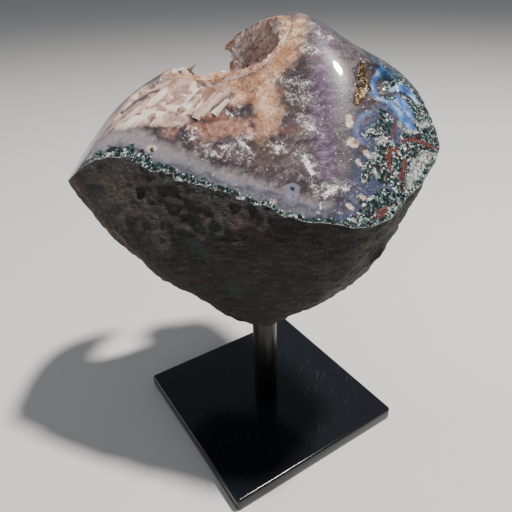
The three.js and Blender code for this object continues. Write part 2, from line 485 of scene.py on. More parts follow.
# Crystals laid bare at the clear end: pixel of the middle, and half width in pixels
CLEAR_CRYSTALS = (
    (112, 122, 6), (122, 110, 7), (128, 102, 7), (138, 94, 8), (134, 113, 7), (147, 97, 6),
    (146, 117, 7), (156, 88, 10), (157, 105, 9), (166, 96, 7), (170, 84, 10), (179, 92, 11),
    (176, 108, 8), (188, 88, 9), (193, 96, 9), (203, 88, 8), (208, 93, 7), (217, 92, 7),
    (226, 97, 6), (198, 88, 8), (208, 88, 8), (146, 92, 8), (130, 98, 7), (116, 114, 6),
)
PALE_FACETS = (
    ((150, 103, 4), (158, 96, 7), (163, 90, 5)),
    ((120, 130, 2.5), (130, 120, 5), (142, 115, 7), (155, 112, 6), (164, 111, 3)),
    ((168, 107, 2.5), (177, 108, 3.5), (187, 106, 4)),
    ((187, 99, 3), (193, 89, 6), (200, 80, 6), (209, 76, 5)),
    ((112, 120, 2.5), (125, 104, 3), (138, 91, 3.5), (145, 88, 2.5)),
    ((136, 135, 2), (146, 131, 4), (155, 128, 3)),
    ((176, 72, 4), (190, 75, 3)),
)
DARK_FACETS = (
    ((140, 104, 2), (145, 96, 3), (149, 89, 1.5)),
    ((169, 102, 2.5), (177, 94, 6), (184, 88, 6)),
    ((204, 104, 2.5), (211, 96, 7), (217, 88, 5), (221, 101, 3)),
    ((165, 121, 3), (174, 117, 4), (182, 119, 3)),
    ((194, 111, 2.5), (201, 108, 3)),
    ((186, 141.5, 0.8), (198, 142.5, 1.3), (213, 142, 1.2)),
    ((208, 120, 0.8), (216, 119.5, 1.1)),
    ((285, 131, 3), (293, 130, 6), (302, 128, 3)),
    ((279, 88, 4), (288, 93, 4)),
    ((206, 149, 2), (216, 153, 3), (221, 156, 2)),
    ((312, 56, 3), (314, 58, 2)),
)
SMOKY = (
    ((258, 148, 10), (270, 158, 13)),
    ((276, 96, 6), (290, 108, 8)),
)
BRIGHT = (
    ((225, 106, 1), (227, 113, 2.2), (233, 115, 2.2), (239, 112, 1.6)),
    ((236, 104, 1.5), (241, 106, 2)),
    ((240, 141, 2), (246, 146, 3.6), (250, 150, 2)),
    ((196, 127, 1), (190, 134, 1.6), (192, 139, 1.2)),
    ((220, 147, 1.6), (226, 146, 1.6)),
    ((203, 158, 1.2), (207, 154, 1.2)),
    ((215, 153, 1.6), (219, 157, 1)),
    ((278, 146, 1.6), (278, 152, 1.2)),
    ((305, 157, 1.6), (309, 166, 2.4), (313, 174, 1.6)),
    ((317, 217, 0.7), (321, 207, 1.7), (325, 197, 2), (331, 190, 1.6)),
    ((330, 191, 1.6), (341, 187, 1.6)),
    ((143, 104, 1.2), (147, 105, 1.5)),
    ((300, 74, 1), (310, 83, 1)),
    ((305, 120, 1), (315, 131, 1.2)),
)
FROST = (
    ((200, 148, 4), (224, 152, 7), (247, 154, 6)),
    ((275, 76, 4), (290, 81, 4), (304, 84, 3)),
    ((292, 93, 5), (304, 100, 7), (314, 106, 4)),
    ((303, 118, 4), (312, 128, 6), (319, 133, 3)),
    ((276, 147, 4), (284, 152, 4)),
    ((298, 152, 6), (308, 166, 8), (314, 180, 5)),
    ((316, 190, 4), (330, 190, 7), (345, 186, 3)),
    ((312, 24, 5), (322, 34, 7), (334, 38, 4)),
    ((302, 46, 5), (314, 50, 4)),
    ((190, 128, 3), (192, 138, 3)),
    ((240, 140, 3), (252, 134, 3)),
)
PURPLE = (
    ((322, 32, 7), (328, 48, 9), (322, 78, 10), (325, 108, 12), (322, 134, 9), (329, 160, 9),
     (328, 174, 6)),
)
INDIGO = (
    ((366, 110, 4), (352, 126, 3), (352, 132, 3)),
    ((354, 152, 4), (356, 170, 7), (352, 186, 6), (345, 204, 6), (334, 214, 6), (340, 221, 5)),
    ((361, 188, 5), (371, 188, 4)),
)
SKY = (
    ((372, 111, 1.4), (362, 116, 2), (356, 125, 2), (357, 134, 1.6), (364, 143, 1.6)),
    ((384, 70, 1.6), (382, 84, 1.8), (380, 92, 1.2), (384, 102, 1.4)),
)
BLUE = (
    ((383, 66, 2), (384, 74, 3), (386, 84, 3), (388, 100, 3), (393, 106, 4), (399, 112, 5),
     (405, 120, 5), (411, 126, 4.5), (416, 129, 1.5)),
    ((399, 87, 4), (406, 89, 5.5), (413, 95, 5), (417, 101, 3)),
    ((396, 98, 5), (404, 104, 6), (410, 112, 5), (412, 120, 4)),
)
DEEP_TEAL = (
    ((361, 46, 3.5), (371, 55, 6), (384, 66, 6.5), (396, 77, 5), (405, 84, 3)),
)
MATRIX = (
    ((384, 113, 5), (388, 119, 7), (384, 129, 9), (371, 133, 6), (364, 134, 3)),
    ((386, 141, 10), (388, 160, 14), (384, 177, 8), (371, 166, 6), (366, 179, 5)),
    ((410, 138, 10), (424, 132, 12), (432, 124, 8), (427, 112, 5)),
    ((404, 160, 16), (404, 185, 14)),
    ((430, 150, 14), (430, 175, 14), (412, 200, 12)),
    ((388, 202, 13), (376, 214, 14), (362, 226, 10), (351, 225, 6)),
    ((366, 201, 6), (360, 199, 3)),
)
GREEN = (
    ((375, 53, 2), (380, 60, 3.2), (386, 67, 2.6)),
    ((394, 79, 3.4), (395, 83, 2)),
    ((391, 92, 4.4), (394, 97, 4)),
    ((410, 99, 3.2), (414, 104, 2.6)),
    ((397, 110, 1.5), (398, 111, 1.2)),
)
PALE_ROCK = (
    ((411, 187, 4), (414, 176, 6), (420, 166, 8), (428, 160, 8), (436, 158, 5)),
    ((379, 141, 3.5), (384, 141, 2.5)),
    ((373, 156, 3), (377, 155, 2.5)),
    ((400, 122, 2), (403, 127, 2.5)),
    ((407, 131, 2.5), (412, 131, 2.5)),
    ((416, 121, 2.5), (417, 123, 2)),
    ((375, 172, 3), (379, 175, 2)),
    ((396, 171, 1.5), (396, 177, 1.5)),
    ((355, 222, 2), (357, 226, 2)),
    ((421, 127, 2.5), (427, 121, 2)),
)
BRICK = (
    ((395, 118, 0.5), (395.5, 126, 2.1), (393.5, 134, 1.6), (389, 142, 1.2), (385, 146, 0.7)),
    ((397, 147, 1.5), (392, 150, 2.5), (389, 158, 2.6), (390, 166, 2.4), (393, 177, 0.7)),
    ((398, 147, 1.5), (397, 158, 1.2)),
    ((402, 142, 1.8), (410, 139.5, 2), (418, 140.5, 2.2), (428, 145, 2.8), (434, 148, 2.4),
     (441, 151, 1)),
    ((409.5, 146, 0.9), (411, 154, 1.7), (412, 160, 1)),
    ((406, 161, 2.4), (405, 170, 2.4), (401.5, 178, 2.4), (401, 186, 1.6), (401.5, 197, 0.7)),
    ((414, 135, 0.7), (423, 135.5, 1.2)),
    ((390, 206, 1.5), (384, 212, 3), (378, 219, 2.6), (374, 224, 0.9)),
    ((371, 172, 1.2), (371, 177, 1.4)),
    ((414, 153, 0.7), (420, 151, 1)),
)
SPOTS = (
    ((353, 142, 4.8), (355, 143, 4.2)),
    ((350, 117, 3.2), (350, 124, 3.4)),
    ((359, 161, 2.4), (360, 164, 2.2)),
    ((367, 153, 3), (369, 156, 2.2)),
    ((379, 95, 1.8), (381, 99, 1.6)),
    ((355, 40, 1.6), (360, 44, 1.8)),
    ((347, 204, 1.2), (352, 208, 2.6)),
    ((361, 196, 1.8), (364, 198, 2.2)),
    ((149, 148, 3.2), (153, 148, 3.4)),
    ((272, 201, 1.8), (275, 202, 1.6)),
)
RED_EYES = (
    ((356, 141.5, 2.4), (357, 142.5, 2)),
    ((356, 119, 2), (356.5, 121, 1.8)),
)
GREY_RINGS = (
    ((293, 190, 6.6), (293, 193, 6)),
    ((224, 186, 2.4), (224, 187, 2.2)),
)
DARK_EYES = (
    ((292.5, 188.5, 2), (293.5, 190, 1.8)),
    ((293, 196, 1), (293, 198, 0.8)),
    ((223, 186.5, 1), (223.5, 186.5, 0.9)),
    ((151, 149.5, 2), (152, 151, 1.6)),
)
GOLD_POCKET = (
    ((364, 61, 3), (368, 70, 6), (374, 76, 7), (379, 80, 4)),
    ((367, 84, 6), (361, 94, 5), (357, 102, 2.5)),
)
POCKET_SHADE = (
    ((366, 64, 2), (365, 74, 2.5), (362, 84, 2.5)),
)
GREEN_STAIN = (
    ((184, 238, 4), (196, 248, 8), (204, 258, 5)),
    ((196, 232, 3), (205, 236, 3)),
    ((228, 290, 6), (238, 300, 6)),
    ((394, 224, 6), (386, 245, 9), (376, 262, 9)),
)
RUST = (
    ((204, 240, 6), (214, 258, 6)),
    ((240, 226, 8), (262, 238, 8)),
    ((188, 280, 4), (196, 284, 4)),
)
STONE_ZONES = {
    "peach": PEACH, "amber": AMBER, "salmon": SALMON, "clear": CLEAR,
    "pale_facets": PALE_FACETS, "dark_facets": DARK_FACETS, "smoky": SMOKY,
    "bright": BRIGHT, "frost": FROST, "purple": PURPLE, "indigo": INDIGO, "sky": SKY,
    "blue": BLUE, "deep_teal": DEEP_TEAL, "green": GREEN, "pale_rock": PALE_ROCK,
    "brick": BRICK, "spots": SPOTS, "red_eyes": RED_EYES, "grey_rings": GREY_RINGS,
    "dark_eyes": DARK_EYES, "gold_pocket": GOLD_POCKET, "green_stain": GREEN_STAIN,
    "rust": RUST,
}


# Materials

def tint(code):
    """A colour written as red, green and blue in hexadecimal, made linear."""
    parts = [int(code[n:n + 2], 16) / 255 for n in (0, 2, 4)]
    return (*[(p / 12.92 if p <= 0.04045 else ((p + 0.055) / 1.055) ** 2.4) for p in parts], 1)


class Value:
    """A number that varies over a surface. Sums with it become Math nodes."""

    def __init__(self, socket):
        self.socket = socket

    def math(self, operation, *others, clamp=False):
        settings = {"operation": operation, "use_clamp": clamp}
        values = dict(enumerate((self, *others)))
        return Value(node(self.socket.id_data, "ShaderNodeMath", settings, values).outputs[0])

    def __add__(self, other):
        return self.math("ADD", other)

    def __sub__(self, other):
        return self.math("SUBTRACT", other)

    def __mul__(self, other):
        return self.math("MULTIPLY", other)

    def __rsub__(self, other):
        return (self * -1) + other

    __radd__ = __add__
    __rmul__ = __mul__

    def above(self, level, soft=0.05):
        """0 below level and 1 above it, turning over a soft width."""
        return ((self - (level - soft)) * (0.5 / soft)).limited()

    def near(self, level, width):
        """1 at level, falling to 0 a width to either side."""
        return (1 - (self - level).math("ABSOLUTE") * (1 / width)).limited()

    def limited(self):
        return self.math("ADD", 0, clamp=True)


def node(tree, kind, settings=None, inputs=None):
    """Adds a node: settings first, then the values or links of its sockets."""
    made = tree.nodes.new(kind)
    for name, setting in (settings or {}).items():
        if name == "stops":
            set_stops(made.color_ramp, setting)
        else:
            setattr(made, name, setting)
    for name, value in (inputs or {}).items():
        source = getattr(value, "socket", value)
        if isinstance(source, bpy.types.NodeSocket):
            tree.links.new(source, made.inputs[name])
        else:
            made.inputs[name].default_value = value
    return made


def set_stops(ramp, stops):
    while len(ramp.elements) < len(stops):
        ramp.elements.new(0.5)
    for element, (place, colour) in zip(ramp.elements, stops):
        element.position = place
        element.color = tint(colour)


class Finish:
    """A material in the making. Its places are in millimetres, in the plate's frame."""

    def __init__(self, name):
        self.material = bpy.data.materials.new(name)
        self.material.use_nodes = True
        self.tree = self.material.node_tree
        self.tree.nodes.clear()
        place = self.node("ShaderNodeTexCoord").outputs["Object"]
        self.place = self.vectors("SCALE", place, Scale=1 / MM)

    def node(self, kind, settings=None, inputs=None):
        return node(self.tree, kind, settings, inputs)

    def vectors(self, operation, first, second=None, **inputs):
        inputs[0] = first
        if second is not None:
            inputs[1] = second
        made = self.node("ShaderNodeVectorMath", {"operation": operation}, inputs)
        return made.outputs["Value" if operation == "DOT_PRODUCT" else "Vector"]

    def field(self, name):
        """A value that the mesh carries at each point."""
        carried = self.node(
            "ShaderNodeAttribute", {"attribute_type": "GEOMETRY", "attribute_name": name})
        return Value(carried.outputs["Fac"])

    def drawn_out(self, way, lengths):
        """Places in which a pattern is drawn out along way, given in the stone's frame."""
        turn = turned(Vector(way).normalized()).to_track_quat("Z", "Y").to_euler()
        mapped = self.node("ShaderNodeMapping", {"vector_type": "TEXTURE"}, {
            "Vector": self.place, "Rotation": tuple(turn), "Scale": lengths})
        return mapped.outputs[0]

    def wobbled(self, amount, size):
        """Places shifted by up to about amount millimetres."""
        made = self.node("ShaderNodeTexNoise", {}, {"Vector": self.place, "Scale": 1 / size})
        shift = self.vectors("SUBTRACT", made.outputs["Color"], (0.5, 0.5, 0.5))
        return self.vectors("ADD", self.place, self.vectors("SCALE", shift, Scale=amount * 2))

    def noise(self, size, detail=3, rough=0.55, place=None, seed=0.0):
        """Soft noise about 0.5, with features about size millimetres across."""
        made = self.node("ShaderNodeTexNoise", {"noise_dimensions": "4D"}, {
            "Vector": place or self.place, "W": seed, "Scale": 1 / size, "Detail": detail,
            "Roughness": rough})
        return Value(made.outputs["Fac"])

    def voronoi(self, size, place=None, feature="F1"):
        return self.node("ShaderNodeTexVoronoi", {"feature": feature}, {
            "Vector": place or self.place, "Scale": 1 / size})

    def grains(self, size, place=None):
        """A value of its own for each grain."""
        colour = self.voronoi(size, place).outputs["Color"]
        parts = self.node("ShaderNodeSeparateColor", {}, {"Color": colour})
        return Value(parts.outputs["Red"])

    def seams(self, size, place=None):
        """The distance to the nearest seam between grains, as a share of size."""
        made = self.voronoi(size, place, "DISTANCE_TO_EDGE")
        return Value(made.outputs["Distance"])

    def facets(self, size, place=None):
        """Flat facets, each shaded from one side to the other, about 0.5."""
        place = place or self.place
        made = self.voronoi(size, place)
        across = self.vectors("SUBTRACT", place, made.outputs["Position"])
        way = self.vectors("SUBTRACT", made.outputs["Color"], (0.5, 0.5, 0.5))
        slope = Value(self.vectors("DOT_PRODUCT", across, way))
        return slope * (0.8 / size) + 0.5

    def sparkles(self, size, share):
        """Small bright points: share is how many of the places have one."""
        made = self.voronoi(size)
        parts = self.node("ShaderNodeSeparateColor", {}, {"Color": made.outputs["Color"]})
        picked = (Value(parts.outputs["Green"]) + share).above(1, 0.02)
        return (1 - Value(made.outputs["Distance"]).above(0.16, 0.06)) * picked

    def hairlines(self, size, width, seed=0.0, place=None):
        """Fine wandering lines, as of cracks inside clear stone."""
        return self.noise(size, 2, 0.6, place, seed).near(0.5, width)

    def mix(self, share, first, second):
        settings = {"data_type": "RGBA", "clamp_factor": True}
        colours = {6: first, 7: second}
        for socket, colour in colours.items():
            if isinstance(colour, str):
                colours[socket] = tint(colour)
        return self.node("ShaderNodeMix", settings, {0: share, **colours}).outputs[2]

    def ramp(self, value, *stops):
        return self.node("ShaderNodeValToRGB", {"stops": stops}, {"Fac": value}).outputs[0]

    def bump(self, height, distance, under=None):
        inputs = {"Height": height, "Strength": 1, "Distance": distance * MM}
        if under:
            inputs["Normal"] = under
        return self.node("ShaderNodeBump", {}, inputs).outputs[0]

    def finish(self, **inputs):
        shader = self.node("ShaderNodeBsdfPrincipled", {}, {
            name.replace("_", " "): value for name, value in inputs.items()})
        self.node("ShaderNodeOutputMaterial", {}, {"Surface": shader.outputs[0]})
        return self.material


class ZonedFinish(Finish):
    """A finish of many zones, with edges made ragged by coarse and fine noise."""

    def __init__(self, name):
        super().__init__(name)
        self.rag = self.noise(4, detail=5, rough=0.65) - 0.5
        self.fine = self.noise(0.9, detail=3, rough=0.7, seed=2) - 0.5

    def patch(self, name, soft, ragged=5.0):
        """1 inside a zone and 0 outside it."""
        return (self.field(name) + self.rag * ragged + self.fine * 1.4).above(0, soft)


def speckled_rock(look):
    """Dark green rock, finely speckled with black, pale green and white."""
    place = look.wobbled(0.7, 0.9)
    grain = look.grains(0.8, place)
    fine = look.noise(0.5, detail=3, rough=0.7)
    clumps = look.noise(3.5, detail=3, seed=4) - 0.5
    tone = grain * 0.5 + fine * 0.6 + clumps * 0.7
    rock = look.ramp(
        tone, (0.3, "060a0b"), (0.46, "152022"), (0.6, "2b4242"), (0.7, "647675"),
        (0.79, "bcc3c1"), (0.9, "f7f6f4"))
    edges = 1 - look.seams(0.8, place).above(0.07, 0.06)
    return look.mix(edges * 0.55, rock, "0d1817")


def glassy_quartz(look):
    """The cut quartz: mauve grey, purple to the right and clear pink to the left."""
    fan = look.drawn_out((1, 0.15, 0.1), (0.8, 0.8, 2.2))
    slant = look.drawn_out(SKIN_SLANT, (0.7, 0.7, 1.9))
    cloud = look.noise(14, detail=3, seed=7)
    facets = look.facets(5, fan)
    chips = look.facets(2.1)
    quartz = look.ramp(
        cloud * 0.5 + facets * 0.35 + chips * 0.15, (0.3, "251d1f"), (0.48, "40363a"),
        (0.62, "5b5054"), (0.8, "93878b"))
    quartz = look.mix(look.patch("smoky", 2.5) * 0.6, quartz, "514239")
    violet = look.ramp(
        look.noise(3, detail=4, place=fan, seed=3), (0.3, "35243a"), (0.5, "5b455f"),
        (0.7, "8d7892"))
    quartz = look.mix(look.patch("purple", 2.0) * 0.75, quartz, violet)

    sheets = look.facets(6.5, slant) * 0.6 + look.grains(6.5, slant) * 0.4
    slivers = look.facets(2.6, slant)
    clear = look.ramp(
        sheets * 0.82 + slivers * 0.18, (0.22, "8a6658"), (0.4, "ad8675"), (0.55, "cfae9f"),
        (0.74, "f4e3d9"))
    clear = look.mix(look.patch("pale_facets", 0.5, 3) * 0.7, clear, "f1e4da")
    clear = look.mix(look.hairlines(6, 0.018, 1, slant) * 0.55, clear, "fbf3ec")
    return look.mix(look.patch("clear", 1.0, 4), quartz, clear)


def peach_sugar(look):
    """Fine sugary grain, and its peach colour."""
    sugar = look.noise(0.7, detail=4, rough=0.8, seed=3)
    stain = look.noise(5, detail=4, seed=13)
    peach = look.ramp(
        sugar * 0.55 + stain * 0.45, (0.4, "744a37"), (0.47, "a07357"), (0.53, "c0977a"),
        (0.61, "e8cbb3"))
    return sugar, peach


def peach_and_salmon(look, colour):
    """Fine-grained peach and salmon bands next to the hollow."""
    sugar, peach = peach_sugar(look)
    colour = look.mix(look.patch("peach", 2.4, 12), colour, peach)
    colour = look.mix(look.patch("amber", 1.2, 4) * 0.65, colour, "99653c")
    salmon = look.ramp(
        look.facets(3) * 0.6 + sugar * 0.4, (0.34, "7c5145"), (0.52, "a27362"), (0.72, "d5ad9b"))
    colour = look.mix(look.patch("salmon", 1.8, 10) * 0.85, colour, salmon)
    return look.mix(look.patch("dark_facets", 0.5, 2) * 0.55, colour, "6b4c42")


def inner_cracks(look, colour, frosted):
    """White hairlines, flecks and sparkling points inside the quartz."""
    bright = look.patch("bright", 0.5, 4)
    wander = look.wobbled(1.6, 2.5)
    lines = look.hairlines(4.2, 0.035, 5, wander).math(
        "MAXIMUM", look.hairlines(2.2, 0.05, 9, wander) * 0.8)
    lit = look.noise(2.4, detail=3, rough=0.7, seed=15).above(0.52, 0.05)
    colour = look.mix(frosted * 0.12, colour, "a89c9b")
    colour = look.mix(lines * lit * (frosted * 0.8 + 0.12), colour, "fdf6f2")
    flecks = look.noise(0.7, detail=3, rough=0.75, seed=11)
    colour = look.mix((flecks + bright * 0.16 + frosted * 0.03).above(0.67, 0.03) * (
        frosted * 0.5 + bright * 0.9 + 0.12), colour, "fbf8f5")
    points = look.sparkles(1.5, 0.1).math("MAXIMUM", look.sparkles(0.8, 0.12) * frosted)
    return look.mix(points * (look.fine * 2 + 0.7).limited(), colour, "fffdfa")


def lavender_agate(look, colour, rim):
    """Lavender banded agate above the rim."""
    drift = look.noise(7, detail=2, seed=17)
    agate = look.ramp(
        rim * 0.06 + drift * 0.5, (0.3, "3a3b45"), (0.42, "65656f"), (0.5, "4f4f59"),
        (0.6, "78757e"), (0.75, "8a8286"))
    reach_up = look.field("agate_width") + look.rag * 12
    return look.mix((reach_up - rim).above(0, 2.2) * 0.88, colour, agate)


def blue_agate(look, colour):
    """The indigo and blue shades round the rock."""
    colour = look.mix(look.patch("indigo", 2.0, 5) * 0.8, colour, "24283e")
    halo = (look.field("matrix") + look.rag * 5).above(-2.4, 1.6)
    colour = look.mix(halo * 0.8, colour, "303a5a")
    return look.mix(look.patch("sky", 0.7, 2) * 0.85, colour, "58699a")


def rock_at_the_right(look, colour, rock, rocky):
    """Rings, teal, dark green rock with blue agate in it, pale rock and brick-red streaks."""
    colour = look.mix(look.patch("grey_rings", 0.4, 1) * 0.75, colour, "7c7a90")
    colour = look.mix(look.patch("deep_teal", 1.2, 3), colour, look.ramp(
        look.rag + 0.5, (0.4, "0c1c26"), (0.52, "1d3850"), (0.64, "45668c")))
    colour = look.mix(rocky, colour, rock)
    drift = look.noise(5, detail=3, seed=6)
    blue = look.ramp(drift, (0.36, "2a4a80"), (0.48, "456da8"), (0.56, "6f90c0"), (0.66, "9fb5d4"))
    colour = look.mix(look.patch("blue", 0.5, 2.5), colour, blue)
    colour = look.mix(look.patch("green", 0.2, 2), colour, rock)
    white_rock = look.ramp(
        look.noise(1.1, detail=5, rough=0.8, seed=9), (0.38, "2c3230"), (0.47, "6a6e6b"),
        (0.55, "b4b4b0"), (0.65, "f7f6f3"))
    colour = look.mix(look.patch("pale_rock", 0.6, 4) * 0.9, colour, white_rock)
    brick = look.ramp(
        look.noise(0.8, detail=4, rough=0.7, seed=8), (0.38, "2e1512"), (0.5, "532c28"),
        (0.64, "7c534d"))
    return look.mix(look.patch("brick", 0.15, 1.4), colour, brick)


def speckled_rim(look, colour, rim, rock, rocky):
    """The rock along the rim, a few rusty grains in it, and the pale line of the edge."""
    bubbles = Value(look.voronoi(3.2, look.wobbled(0.8, 2)).outputs["Distance"])
    width = look.field("rim_width") * (1.5 - bubbles) + look.rag * 3 + look.fine * 1.5
    mossy = (width - rim).above(0, 0.3)
    colour = look.mix(mossy, colour, rock)
    rusty = look.grains(0.9).above(0.975, 0.01)
    colour = look.mix(rusty * mossy.math("MAXIMUM", rocky) * 0.8, colour, "6e352c")
    return look.mix((1 - (rim + look.fine * 1.5).above(0.3, 0.15)) * 0.55, colour, "a5a9a5")


def spots_and_pocket(look, colour):
    """Cream spots, some with a red or dark eye, and the gold of the open pocket."""
    cream = look.ramp(look.fine + 0.5, (0.38, "9d8172"), (0.5, "c0a697"), (0.62, "e6d6cb"))
    colour = look.mix(look.patch("spots", 0.35, 1), colour, cream)
    colour = look.mix(look.patch("red_eyes", 0.3, 0.6) * 0.85, colour, "6e2f2c")
    colour = look.mix(look.patch("dark_eyes", 0.25, 0.8), colour, "161d1c")
    druse = look.ramp(
        look.noise(0.9, detail=4, rough=0.75, seed=5), (0.38, "21170e"), (0.48, "5c4327"),
        (0.56, "94744c"), (0.66, "f0e4cb"))
    return look.mix(look.patch("gold_pocket", 0.3, 2), colour, druse)


def polished_face():
    """Cut and polished quartz, agate and rock, zone by zone."""
    look = ZonedFinish("polished_quartz_and_agate")
    frosted = look.patch("frost", 1.8, 12)
    rock = speckled_rock(look)
    rocky = look.patch("matrix", 0.25, 4)
    rim = look.field("rim_distance")
    colour = glassy_quartz(look)
    colour = peach_and_salmon(look, colour)
    colour = lavender_agate(look, colour, rim)
    colour = blue_agate(look, colour)
    colour = inner_cracks(look, colour, frosted)
    colour = rock_at_the_right(look, colour, rock, rocky)
    colour = speckled_rim(look, colour, rim, rock, rocky)
    colour = spots_and_pocket(look, colour)
    roughness = look.noise(20, detail=2, seed=12) * 0.2 + 0.22
    normal = look.bump(look.noise(0.8, detail=3, seed=19) * (frosted * 0.8 + 0.2), 0.3)
    normal = look.bump(look.patch("gold_pocket", 0.4, 2) * look.facets(1.5), 1.5, normal)
    return look.finish(
        Base_Color=colour, Roughness=roughness, Normal=normal, IOR=1.22, Coat_Weight=0.8,
        Coat_Roughness=0.04, Coat_IOR=1.5)


def rough_rind():
    """The stone's natural skin: dark, grainy and pitted, browner to the left."""
    look = Finish("rough_rind")
    grain = look.noise(0.55, detail=4, rough=0.8)
    seams = look.noise(2.4, detail=5, rough=0.65, place=look.drawn_out((1, 0, 0.1), (1, 0.6, 2.4)))
    blotch = look.noise(10, detail=4, rough=0.6, seed=3)
    tone = grain * 0.5 + seams * 0.35 + blotch * 0.15
    dark = look.ramp(
        tone, (0.4, "070606"), (0.48, "13110f"), (0.54, "27221d"), (0.62, "60584b"))
    brown = look.ramp(
        tone, (0.38, "140f0d"), (0.48, "2c241f"), (0.55, "463a34"), (0.66, "75685d"))
    left = look.field("left_end") + (blotch - 0.5) * 1.8
    skin = look.mix(left.limited(), dark, brown)
    moss = look.noise(6, detail=5, rough=0.6, seed=21).above(0.57, 0.05)
    skin = look.mix(moss * 0.4, skin, "16211c")
    stain = (look.field("green_stain") + (blotch - 0.5) * 14 + (grain - 0.5) * 5).above(0, 1.0)
    skin = look.mix(stain * 0.75, skin, look.ramp(
        grain, (0.4, "0b1614"), (0.52, "1b332d"), (0.66, "47625a")))
    rust = (look.field("rust") + (seams - 0.5) * 14).above(0.5, 1.5)
    skin = look.mix(rust * 0.45, skin, "44241d")
    specks = look.sparkles(1.1, 0.12)
    skin = look.mix(specks * 0.5, skin, "a39a8c")
    pits = look.voronoi(3.2, look.wobbled(1.5, 2.5)).outputs["Distance"]
    normal = look.bump(seams * 1.2 + grain * 0.5, 1.3)
    normal = look.bump(Value(pits).above(0.3, 0.25), 0.5, normal)
    rough = look.noise(1.6, detail=3, seed=5) * 0.6 + 0.3
    return look.finish(Base_Color=skin, Roughness=rough, Normal=normal, IOR=1.45)


def broken_quartz():
    """Quartz broken across: pale pink, glassy and ledged."""
    look = Finish("broken_quartz")
    ledges = look.facets(4.5, look.drawn_out(SKIN_SLANT, (0.7, 0.7, 1.8)))
    grain = look.noise(0.8, detail=4, rough=0.75)
    colour = look.ramp(
        ledges * 0.6 + grain * 0.4, (0.28, "7a5d57"), (0.45, "a5857b"), (0.6, "c5aaa0"),
        (0.78, "e9dbd2"))
    colour = look.mix(look.sparkles(1.1, 0.2) * 0.8, colour, "fffaf6")
    normal = look.bump(ledges, 1.6)
    normal = look.bump(grain, 0.35, normal)
    return look.finish(
        Base_Color=colour, Roughness=grain * 0.4 + 0.08, Normal=normal, IOR=1.54,
        Transmission_Weight=0.2)


def pink_crystal():
    """Rose-brown amethyst points, clear at the skin, with painted glints."""
    look = Finish("pink_amethyst")
    blush = look.noise(8, detail=3)
    tone = look.field("crystal_tone")
    veil = look.noise(1.4, detail=4, rough=0.7, seed=2)
    colour = look.ramp(
        blush * 0.45 + tone * 0.3 + veil * 0.25, (0.3, "bb9990"), (0.44, "dfc2b8"),
        (0.55, "f1dcd3"), (0.75, "fdf6f1"))
    # Small near-white points on the crystals: painted glints.
    dust_and_glints = look.sparkles(0.9, 0.12)
    colour = look.mix(dust_and_glints * 0.7, colour, "fff2ea")
    rough = veil * 0.3 + 0.04
    normal = look.bump(look.noise(1.1, detail=3, seed=8), 0.12)
    return look.finish(
        Base_Color=colour, Roughness=rough, Normal=normal, IOR=1.54,
        Transmission_Weight=0.3, Coat_Weight=0.3, Coat_Roughness=0.04)


def peach_edge():
    """The sugary peach edge of the hollow's lining, where it is cut and polished."""
    look = Finish("sugary_peach_edge")
    sugar, peach = peach_sugar(look)
    return look.finish(
        Base_Color=peach, Roughness=sugar * 0.4 + 0.1, Normal=look.bump(sugar, 0.2), IOR=1.5)


def clear_pink():
    """Pale pink quartz, glassy, with veils inside."""
    look = Finish("clear_pink_quartz")
    veil = look.noise(6, detail=2, place=look.drawn_out(SKIN_SLANT, (1, 1, 2.5)))
    tone = look.field("crystal_tone")
    colour = look.ramp(
        veil * 0.55 + tone * 0.45, (0.2, "8a6456"), (0.4, "ab8373"), (0.58, "d0aea0"),
        (0.8, "f5e1d6"))
    colour = look.mix(look.hairlines(7, 0.02) * 0.5, colour, "fff6ef")
    colour = look.mix(look.sparkles(1.3, 0.06) * 0.8, colour, "fffdfa")
    return look.finish(
        Base_Color=colour, Roughness=veil * 0.3 + 0.02, Normal=look.bump(veil, 0.2), IOR=1.5,
        Transmission_Weight=0.1)


def pocket_crystal():
    """Small brown and gold crystals, with bright faces."""
    look = Finish("golden_druse")
    grain = look.noise(1.2, detail=4, rough=0.75)
    tone = grain * 0.5 + look.field("crystal_tone") * 0.5
    colour = look.ramp(
        tone, (0.25, "1f150c"), (0.45, "5e4528"), (0.62, "9c7d54"), (0.8, "efe4cd"))
    shade = (look.field("pocket_shade") + (grain - 0.5) * 4).above(0, 0.8)
    colour = look.mix(shade * 0.7, colour, "1a110a")
    return look.finish(Base_Color=colour, Roughness=grain * 0.3, IOR=1.54)


def gloss_black():
    """The plate: gloss black, with dust, fine scratches and a few wipe marks."""
    look = Finish("gloss_black_plate")
    dust_and_glints = look.noise(0.6, detail=5, rough=0.85).above(0.66, 0.05)
    smear = look.noise(22, detail=3, place=look.drawn_out((1, 0.5, 0), (1, 1, 3)))
    scuffs = look.noise(1.0, detail=3, place=look.drawn_out((0.3, 1, 0), (0.5, 0.5, 14)), seed=4)
    marks = scuffs.above(0.66, 0.03) * smear.above(0.5, 0.1)
    colour = look.mix(dust_and_glints * 0.15 + marks * 0.2, "121519", "a4aaae")
    rough = smear * 0.2 + dust_and_glints * 0.3 + marks * 0.2 + 0.06
    return look.finish(
        Base_Color=colour, Roughness=rough.limited(), Normal=look.bump(scuffs, 0.02), IOR=1.42)


def satin_black():
    """The post: black, drawn lengthwise, a little dusty."""
    look = Finish("satin_black_post")
    lines = look.noise(0.35, detail=3, place=look.drawn_out((0, 0, 1), (1, 1, 30)))
    dust_and_glints = look.noise(0.7, detail=4, rough=0.8, seed=2).above(0.66, 0.05)
    colour = look.mix(dust_and_glints * 0.12, "040506", "7b7f82")
    return look.finish(
        Base_Color=colour, Roughness=lines * 0.35 + 0.14, Normal=look.bump(lines, 0.04),
        IOR=1.45, Coat_Weight=0.15, Coat_Roughness=0.15)


def pale_floor():
    look = Finish("pale_floor")
    return look.finish(Base_Color=tint("cfcdc9"), Roughness=0.9)


# Pieces

POLISHED, RIND, BROKEN = range(3)


